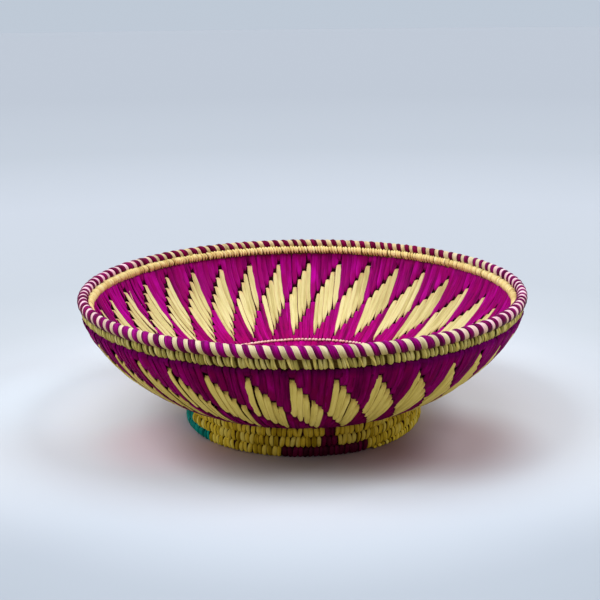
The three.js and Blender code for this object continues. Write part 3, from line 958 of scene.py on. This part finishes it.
def make_tails(rng, tails, tail_widths):
    """The ends of most of the roll's cream strips, which pass over the beans and taper."""
    chosen = rng.random(len(tails)) < TAIL_SHARE
    tails = tails[chosen]
    tail_widths = tail_widths[chosen][:, None]
    count = len(tails)
    turn = np.linspace(70, -78, 10)
    share = np.linspace(0, 1, len(turn))
    half = tail_widths / 2 * rng.uniform(0.40, 0.70, (count, 1)) * (1 - 0.45 * share)
    slant = tail_widths * (rng.uniform(0.3, 1.2, (count, 1)) * share)
    lift = np.full(count, 0.6)
    crown = np.full(count, 0.5)
    made = wrap_strips(outer_row_path, OUTER_SECTION, turn, tails, half, slant, lift, crown, rng, 0.2)
    add_piece("rim_wrap_ends", *made, outer_cream, "leaf_cream", ["rim_coil"])


def make_rim_coil(tails, tail_widths):
    """The straw row under the roll, with its stitches and the ends of the roll's cream strips over it."""
    rng = np.random.default_rng(32)
    ring_core("rim_coil_bundle", row_path(out=0.6, up=0.7), oval(4.2, 1.7, 3.0), straw_core, "straw_natural",
              ["rim_coil"])
    make_strands(rng)
    make_beans(rng)
    make_tails(rng, tails, tail_widths)


# The foot.

# The coil starts and ends at these places, counted in facets from the start of its first row.
FOOT_FIRST_PLACE = 0.8
FOOT_LAST_PLACE = FOOT_ROWS * FEATHERS + 3.2
FOOT_ROW_PITCH = FOOT_HEIGHT / FOOT_ROWS
FOOT_FACET_LENGTH = 14.6
FOOT_SECTION = oval(1.0, FOOT_COIL_WIDTH / 2 - 0.55, 2.3)
FOOT_BUNDLE_SHARE = 0.86  # of the wraps' section
FOOT_BUNDLE_SIDES = 10

# From which angle to which a patch reaches in each row, from the lowest row up.
TEAL_SPANS = ((176, 220), (180, 204), (0, 0))
MAGENTA_SPANS = ((259, 300), (277, 285.5), (280, 284.8))


def foot_radius(height):
    """The radius of the coil's middle at a height. The foot leans out a little."""
    return FOOT_RADIUS_BOTTOM + (FOOT_RADIUS_TOP - FOOT_RADIUS_BOTTOM) * height / FOOT_HEIGHT


def foot_degrees(place):
    """The angle of a place."""
    return FIRST_EDGE + FOOT_COIL_START + place * FACET_DEGREES


def foot_path(place, up, out):
    """A point on the foot coil. Up is a share of half its height, and out is in millimetres."""
    low, high = row_edges(place, 0, FOOT_ROWS, FOOT_ROW_PITCH)
    height = (low + high) / 2 + up * (high - low) / 2
    # The lowest row is pressed flat by what the basket stands on.
    return around(foot_radius(height) + out, foot_degrees(place), np.maximum(height, 0.5))


def foot_outline(turn):
    """The section of the foot's wraps. Its heights and ways up are shares of half a row's height."""
    up_at, out_at, up_way, out_way = FOOT_SECTION(turn)
    return up_at * 0.95, out_at, up_way * 0.22, out_way


def foot_patch(degrees, row):
    """Which colour a wrap has: 0 golden, 1 teal, 2 magenta."""
    kind = np.zeros(len(degrees), int)
    for number in range(FOOT_ROWS):
        for patch, (first, last) in ((1, TEAL_SPANS[number]), (2, MAGENTA_SPANS[number])):
            kind[(row == number) & (degrees > first) & (degrees < last)] = patch
    return kind


def make_foot():
    """The foot coil: its wraps in three colours, and the bundle under them."""
    rng = np.random.default_rng(41)
    step = FEATHERS / FOOT_WRAPS_PER_TURN
    place = np.arange(FOOT_FIRST_PLACE + step / 2, FOOT_LAST_PLACE, step)
    count = len(place)
    middle = place + rng.normal(0, 0.07, count) * step
    turn = np.linspace(180, -180, 24, endpoint=False)
    # A wrap is drawn in where the next row sits on it, which leaves small pits.
    drawn_in = 1 - 0.30 * np.abs(np.sin(np.radians(turn))) ** 3
    half = step / 2 * rng.uniform(0.88, 1.10, (count, 1)) * drawn_in
    slant = rng.normal(0.01, 0.025, (count, 1)) * np.sin(np.radians(turn))
    lift = rng.uniform(-0.12, 0.22, count)
    crown = rng.uniform(0.6, 0.95, count)
    made = wrap_strips(foot_path, foot_outline, turn, middle, half, slant, lift, crown, rng, 0.2)
    # No wrap reaches down to the floor under the foot.
    made[0][..., 2] = np.maximum(made[0][..., 2], 0.05)
    low, high = row_edges(place, 0, FOOT_ROWS, FOOT_ROW_PITCH)
    row = np.round((low + high) / 2 / FOOT_ROW_PITCH - 0.5).astype(int)
    kind = foot_patch(foot_degrees(place) % 360, row)
    for number, name, material, slot in (
        (0, "foot_wraps_golden", golden, "straw_yellow"),
        (1, "foot_wraps_teal", teal, "straw_teal"),
        (2, "foot_wraps_magenta", shaded_foot_magenta, "leaf_magenta"),
    ):
        wraps = [values[kind == number] for values in made]
        add_piece(name, *wraps, material, slot, ["foot_coil"], closed_along=True)

    places = np.arange(FOOT_FIRST_PLACE + 0.2, FOOT_LAST_PLACE, 0.5)[:, None]
    turn = all_round(FOOT_BUNDLE_SIDES)
    up_at, out_at, _, _ = foot_outline(turn)
    sections = foot_path(places, up_at * FOOT_BUNDLE_SHARE, out_at * FOOT_BUNDLE_SHARE)[None]
    length = places * FOOT_FACET_LENGTH
    add_core("foot_bundle", sections, turn / 360, length, 4, bundle, "straw_yellow", ["foot_coil"])


# The seam's distance up the wall from where the floor ends, and how far its middle lies inside the wall's.
SEAM_DISTANCE = 5.2
SEAM_INWARD = 4.0
SEAM_HALF_THICKNESS = 1.05
SEAM_GRAIN_JUMP = 900
SEAM_GRAIN_RADIUS = 1.5


def make_seam():
    """The running stitch that sews the bowl to its foot: short stitches end to end on the inside."""
    rng = np.random.default_rng(51)
    radius, height = side_point(SEAM_DISTANCE, -SEAM_INWARD)
    middle = np.arange(SEAM_STITCHES) * 360 / SEAM_STITCHES + rng.normal(0, 0.12, SEAM_STITCHES)
    half_length = 360 / SEAM_STITCHES * rng.uniform(0.46, 0.56, SEAM_STITCHES)
    # A stitch is thickest in its middle, and dips and leans outward toward its far end.
    stations = np.linspace(-1, 1, 7)
    angle = middle[:, None] + half_length[:, None] * stations
    thick = SEAM_HALF_THICKNESS * np.sqrt(1 - 0.94 * np.abs(stations) ** 2.5)
    sway = rng.normal(0, 0.18, SEAM_STITCHES)[:, None] + 0.45 * stations
    dip = 0.4 * stations[:, None]
    turn = all_round(8)
    out = thick[:, None] * np.cos(np.radians(turn))
    up = thick[:, None] * np.sin(np.radians(turn))
    sections = around(radius + sway[..., None] + out, angle[..., None], height + up - dip)
    chance = rng.random(SEAM_STITCHES)[:, None, None]
    add_core("foot_seam_stitches", sections, turn / 360, angle[..., None] * SEAM_GRAIN_RADIUS,
             chance * SEAM_GRAIN_JUMP, peach, "cord_peach", ["foot_seam_cord"], chance=chance, girth=5)


make_floor()
make_knot()
make_wall()
make_foot()
make_rim_coil(*make_roll())
make_seam()


# The stage, lights and camera.

# Colours of the paper as it is lit, by distance from the basket's axis in metres.
PAPER = (
    (0.0, (0.78, 0.79, 0.87)),
    (0.16, (0.80, 0.83, 0.92)),
    (0.215, (0.70, 0.76, 0.85)),
    (0.265, (0.575, 0.63, 0.71)),
    (0.34, (0.52, 0.575, 0.645)),
    (0.46, (0.485, 0.54, 0.612)),
    (0.95, (0.492, 0.546, 0.628)),
    (1.6, (0.428, 0.480, 0.553)),
    (3.0, (0.396, 0.444, 0.516)),
)
# The paper is darker in front of the basket: partly painted shadow of the basket, partly a plain
# darkening of the paper toward the front. By its foot it has dark painted shadows, under its sides
# warmer painted shadow, and at the left a paler patch, which is painted light.
PAPER_PAINTED_LIGHT_AND_SHADE = (
    ((0.76, 0.79, 0.82), (0.0, -0.40, 0), 0.42, 0.22),
    ((0.64, 0.51, 0.51), (0.09, -0.06, 0), 0.09, 0.025),
    ((1.04, 0.86, 0.89), (-0.085, -0.055, 0), 0.075, 0.02),
    ((1.12, 1.16, 1.18), (-0.185, 0.03, 0), 0.11, 0.02),
    ((0.56, 0.43, 0.40), (0.04, -0.075, 0), 0.068, 0.015),
    ((0.69, 0.60, 0.57), (-0.035, -0.07, 0), 0.068, 0.015),
)
# The paper's colour for the light that it throws back up at the basket, which is little.
PAPER_BOUNCE = (0.42, 0.35, 0.22, 1)
FAR_BACKGROUND = (0.520, 0.587, 0.677, 1)
FILL_COLOUR = (1.0, 0.89, 0.80, 1)
FILL_STRENGTH = 0.27
STAGE_RADIUS = 14.0
STAGE_SIDES = 96

# Each lamp's name, the direction that its light comes from, its strength, spread in degrees and colour.
LAMPS = (
    ("softbox_left", (-0.60, -0.08, 0.79), 1.68, 34, (0.98, 0.99, 1.0)),
    ("softbox_right", (0.62, -0.08, 0.78), 1.80, 34, (0.98, 0.99, 1.0)),
    ("softbox_above", (-0.10, -0.05, 0.99), 0.60, 40, (0.98, 0.99, 1.0)),
    ("low_left", (-0.93, -0.33, 0.16), 0.45, 34, (1.0, 0.98, 0.96)),
    ("low_right", (0.93, -0.33, 0.16), 0.22, 34, (1.0, 0.98, 0.96)),
)

# The camera's place, its lens and sensor in millimetres, and how far it is turned down, left and round.
CAMERA_PLACE = (-0.0024, -0.778, 0.293)
LENS = 66.6
SENSOR_WIDTH = 36.0
CAMERA_PITCH = 14.85
CAMERA_YAW = -0.055
CAMERA_ROLL = -0.65


def seen_directly(tree):
    """1 for what the camera sees, also in gloss or through glass, and 0 for light that goes on its way."""
    path = add_node(tree, "LightPath")
    behind = add_node(tree, "Math", operation="MAXIMUM")
    seen = add_node(tree, "Math", operation="MAXIMUM")
    link(
        tree,
        (path.outputs["Is Glossy Ray"], behind.inputs[0]),
        (path.outputs["Is Transmission Ray"], behind.inputs[1]),
        (path.outputs["Is Camera Ray"], seen.inputs[0]),
        (behind.outputs["Value"], seen.inputs[1]),
    )
    return seen.outputs["Value"]


def stage_material():
    """Paper showing the camera its colours, with painted shadow and light, and throwing back only a little
    light.
    """
    material = bpy.data.materials.new("stage_paper")
    material.use_nodes = True
    tree = material.node_tree
    shader = tree.nodes["Principled BSDF"]
    shader.inputs["Roughness"].default_value = 0.9
    shader.inputs["Specular IOR Level"].default_value = 0.05
    place = add_node(tree, "NewGeometry")
    distance = add_node(tree, "VectorMath", operation="LENGTH")
    paper_end, end_colour = PAPER[-1]
    depth = add_node(tree, "MapRange", {"From Max": paper_end})
    ramp = add_node(tree, "ValToRGB")
    ramp.color_ramp.elements[0].color = (*PAPER[0][1], 1)
    ramp.color_ramp.elements[1].color = (*end_colour, 1)
    for metres, colour in PAPER[1:-1]:
        ramp.color_ramp.elements.new(metres / paper_end).color = (*colour, 1)
    colour = tinted(tree, ramp.outputs["Color"], PAPER_PAINTED_LIGHT_AND_SHADE, "DISTANCE")
    shown = add_node(tree, "Mix", data_type="RGBA")
    shown.inputs["A"].default_value = PAPER_BOUNCE
    link(
        tree,
        (place.outputs["Position"], distance.inputs[0]),
        (distance.outputs["Value"], depth.inputs["Value"]),
        (depth.outputs["Result"], ramp.inputs["Fac"]),
        (seen_directly(tree), shown.inputs["Factor"]),
        (colour, shown.inputs["B"]),
        (shown.outputs["Result"], shader.inputs["Base Color"]),
    )
    return material


def make_stage():
    """A wide pale floor."""
    points = around(STAGE_RADIUS, all_round(STAGE_SIDES), 0.0)
    mesh = bpy.data.meshes.new("stage_floor")
    mesh.from_pydata(points.tolist(), [], [list(range(STAGE_SIDES))])
    mesh.materials.append(stage_material())
    floor = new_object("stage_floor", mesh)


def make_world():
    """The background as the camera sees it, and the weaker, warmer light that fills the shade."""
    world = bpy.data.worlds.new("studio")
    world.use_nodes = True
    tree = world.node_tree
    backdrop = tree.nodes["Background"]
    backdrop.inputs["Color"].default_value = FAR_BACKGROUND
    fill = add_node(tree, "Background", {"Color": FILL_COLOUR, "Strength": FILL_STRENGTH})
    either = add_node(tree, "MixShader")
    link(
        tree,
        (seen_directly(tree), either.inputs["Fac"]),
        (fill.outputs["Background"], either.inputs[1]),
        (backdrop.outputs["Background"], either.inputs[2]),
        (either.outputs["Shader"], tree.nodes["World Output"].inputs["Surface"]),
    )
    bpy.context.scene.world = world


def make_lamps():
    """Wide soft lights from far away. Where a lamp stands makes no difference to its light."""
    for name, direction, strength, spread_degrees, colour in LAMPS:
        data = bpy.data.lights.new(name, "SUN")
        data.energy = strength
        data.angle = math.radians(spread_degrees)
        data.color = colour
        lamp = new_object(name, data)
        lamp.rotation_euler = Vector(direction).to_track_quat("Z", "Y").to_euler()
        lamp.location = Vector(direction) * 2


def make_camera():
    """The camera, as it was fitted to the photograph."""
    data = bpy.data.cameras.new("camera")
    data.sensor_width = SENSOR_WIDTH
    data.lens = LENS
    camera = new_object("camera", data)
    camera.location = CAMERA_PLACE
    level = Euler((math.radians(90 - CAMERA_PITCH), 0, math.radians(CAMERA_YAW)), "XYZ")
    rolled = level.to_matrix() @ Matrix.Rotation(math.radians(CAMERA_ROLL), 3, "Z")
    camera.rotation_euler = rolled.to_euler()
    bpy.context.scene.camera = camera


make_stage()
make_world()
make_lamps()
make_camera()
bpy.context.scene.view_settings.view_transform = "Standard"
